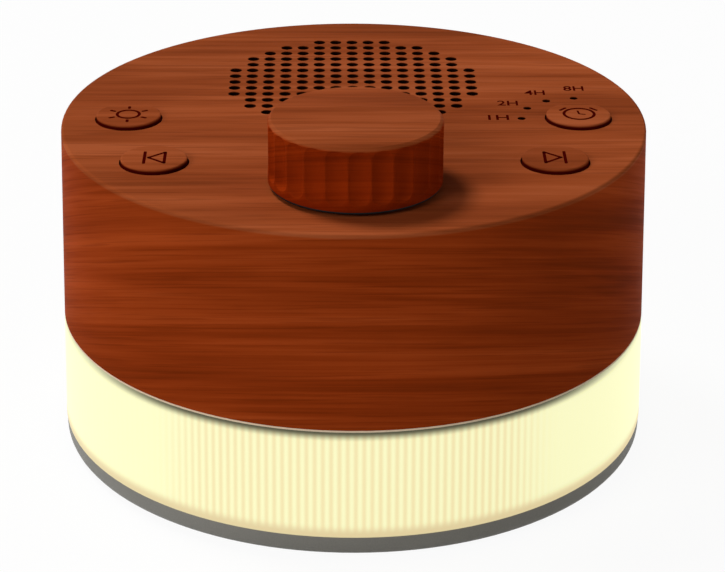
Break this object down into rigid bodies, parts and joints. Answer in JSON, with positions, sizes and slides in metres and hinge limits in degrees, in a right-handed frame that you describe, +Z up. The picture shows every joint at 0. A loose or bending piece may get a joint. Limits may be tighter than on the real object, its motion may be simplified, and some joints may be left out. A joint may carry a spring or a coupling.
{
  "type": "white noise sound machine",
  "caption": "Round bedside white noise machine: wood-look drum with a fluted knob, push keys, a pierced speaker grille and timer lights, over a ribbed glowing ring.",
  "frame": {"origin": "middle of the surface that the machine stands on, under the centre of its round body", "axes": "+Z up, -Y towards the front, where the knob is, +Y towards the speaker and the power inlet, +X to the right seen from the front"},
  "size_m": [0.1028, 0.1028, 0.069],
  "materials": {
    "wood_grain": "satin",
    "black_plastic": "satin",
    "steel": "satin",
    "white_plastic": "matte",
    "switch_shell": "matte",
    "circuit_board": "satin",
    "white_board": "satin",
    "lamp_lens": "gloss",
    "black_cloth": "matte",
    "foam": "matte",
    "black_steel": "satin",
    "surround_rubber": "matte",
    "paper_cone": "matte",
    "copper_winding": "satin",
    "spider_cloth": "matte",
    "ferrite": "matte",
    "terminal_board": "matte",
    "wire_sleeve": "satin",
    "ribbon_film": "satin",
    "chip_resin": "matte",
    "capacitor_sleeve": "gloss",
    "frosted_ring": "satin",
    "grey_plastic": "satin",
    "grey_rubber": "matte"
  },
  "bodies": {
    "cabinet": {"housing": "wood_grain", "encoder_bushing": "steel", "encoder_body": "black_plastic", "switch_bodies": "switch_shell", "control_board": "circuit_board", "timer_lights": "lamp_lens", "timer_light_shield": "black_plastic", "control_board_screws": "steel", "grille_cloth": "black_cloth", "speaker_gasket": "foam", "speaker_frame": "black_steel", "speaker_surround": "surround_rubber", "speaker_spider": "spider_cloth", "speaker_front_plate": "steel", "speaker_magnet": "ferrite", "speaker_yoke": "steel", "speaker_terminals": "terminal_board", "speaker_screws": "steel", "speaker_wires": "wire_sleeve", "chassis": "black_plastic", "chassis_screws": "steel", "main_board": "circuit_board", "main_board_screws": "steel", "audio_chips": "chip_resin", "capacitors": "capacitor_sleeve", "wire_connectors": "white_plastic", "inlet_socket": "steel", "inlet_tongue": "black_plastic", "control_ribbon": "ribbon_film", "lamp_wires": "wire_sleeve", "reflector": "white_plastic", "lamp_board": "white_board", "lamps": "lamp_lens", "lamp_board_screws": "steel", "glow_ring": "frosted_ring", "base_plate": "grey_plastic", "base_screws": "steel", "foot_ring": "grey_rubber"},
    "encoder_rotor": {"encoder_rotor": "white_plastic"},
    "knob": {"knob_cap": "wood_grain", "knob_hub": "black_plastic", "encoder_shaft": "steel"},
    "light_key": {"light_key": "wood_grain", "light_plunger": "black_plastic"},
    "previous_key": {"previous_key": "wood_grain", "previous_plunger": "black_plastic"},
    "next_key": {"next_key": "wood_grain", "next_plunger": "black_plastic"},
    "timer_key": {"timer_key": "wood_grain", "timer_plunger": "black_plastic"},
    "cone": {"speaker_cone": "paper_cone", "dust_cap": "paper_cone", "voice_coil": "copper_winding"}
  },
  "joints": [
    {"name": "knob_turn", "type": "hinge", "parent": "cabinet", "child": "encoder_rotor", "pos_m": [0, -0.0293, 0.0574], "axis": [0, 0, 1], "continuous": true},
    {"name": "knob_push", "type": "slide", "parent": "encoder_rotor", "child": "knob", "axis": [0, 0, -1], "range_m": [0, 0.0005], "stiffness_N_per_m": 2000, "springref_m": -0.001},
    {"name": "light_key_press", "type": "slide", "parent": "cabinet", "child": "light_key", "axis": [0, 0, -1], "range_m": [0, 0.0003], "stiffness_N_per_m": 1200, "springref_m": -0.001},
    {"name": "previous_key_press", "type": "slide", "parent": "cabinet", "child": "previous_key", "axis": [0, 0, -1], "range_m": [0, 0.0003], "stiffness_N_per_m": 1200, "springref_m": -0.001},
    {"name": "next_key_press", "type": "slide", "parent": "cabinet", "child": "next_key", "axis": [0, 0, -1], "range_m": [0, 0.0003], "stiffness_N_per_m": 1200, "springref_m": -0.001},
    {"name": "timer_key_press", "type": "slide", "parent": "cabinet", "child": "timer_key", "axis": [0, 0, -1], "range_m": [0, 0.0003], "stiffness_N_per_m": 1200, "springref_m": -0.001},
    {"name": "cone_travel", "type": "slide", "parent": "cabinet", "child": "cone", "axis": [0, 0, 1], "range_m": [-0.0005, 0.0005], "stiffness_N_per_m": 800, "deforming": ["speaker_surround", "speaker_spider"]}
  ]
}
